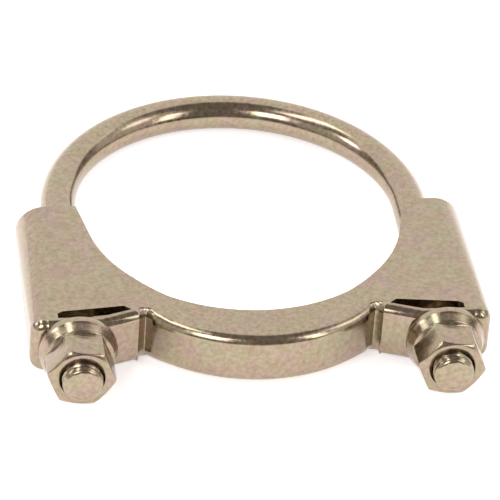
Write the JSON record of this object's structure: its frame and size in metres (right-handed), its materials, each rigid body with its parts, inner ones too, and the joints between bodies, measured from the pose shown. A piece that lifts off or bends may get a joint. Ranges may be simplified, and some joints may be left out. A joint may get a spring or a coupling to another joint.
{
  "type": "exhaust clamp",
  "caption": "U-bolt exhaust clamp: a bent steel rod and a folded sheet saddle close round a pipe as the flange nuts are turned.",
  "frame": {"origin": "on the clamped pipe's axis, half way up the saddle's height", "axes": "+Z along the pipe's axis, +Y from the saddle towards the U-bolt's crown, +X across both legs"},
  "size_m": [0.1082, 0.116, 0.0184],
  "materials": {
    "plated_rod": "yellow chromate zinc plating, satin, on drawn round bar",
    "plated_sheet": "yellow chromate zinc plating, satin, on pressed sheet",
    "plated_nut": "yellow chromate zinc plating, satin, on forged nut"
  },
  "bodies": {
    "saddle": {"saddle": "plated_sheet"},
    "u_bolt": {"u_bolt": "plated_rod"},
    "left_nut": {"flange_nut_left": "plated_nut"},
    "right_nut": {"flange_nut_right": "plated_nut"}
  },
  "joints": [
    {"name": "u_bolt_slide", "type": "slide", "parent": "saddle", "child": "u_bolt", "axis": [0, -1, 0], "range_m": [-0.0026, 0.01249]},
    {"name": "left_nut_spin", "type": "hinge", "parent": "saddle", "child": "left_nut", "pos_m": [-0.04312, -0.0424, 0], "axis": [0, 1, 0], "range_deg": [-590.2, 2836.1]},
    {"name": "right_nut_spin", "type": "hinge", "parent": "saddle", "child": "right_nut", "pos_m": [0.04312, -0.0424, 0], "axis": [0, 1, 0], "range_deg": [-590.2, 2836.1]}
  ],
  "couplings": [
    {"joint": "left_nut_spin", "follows": "u_bolt_slide", "rad_per_m": 3957.9},
    {"joint": "right_nut_spin", "follows": "u_bolt_slide", "rad_per_m": 3957.9}
  ]
}
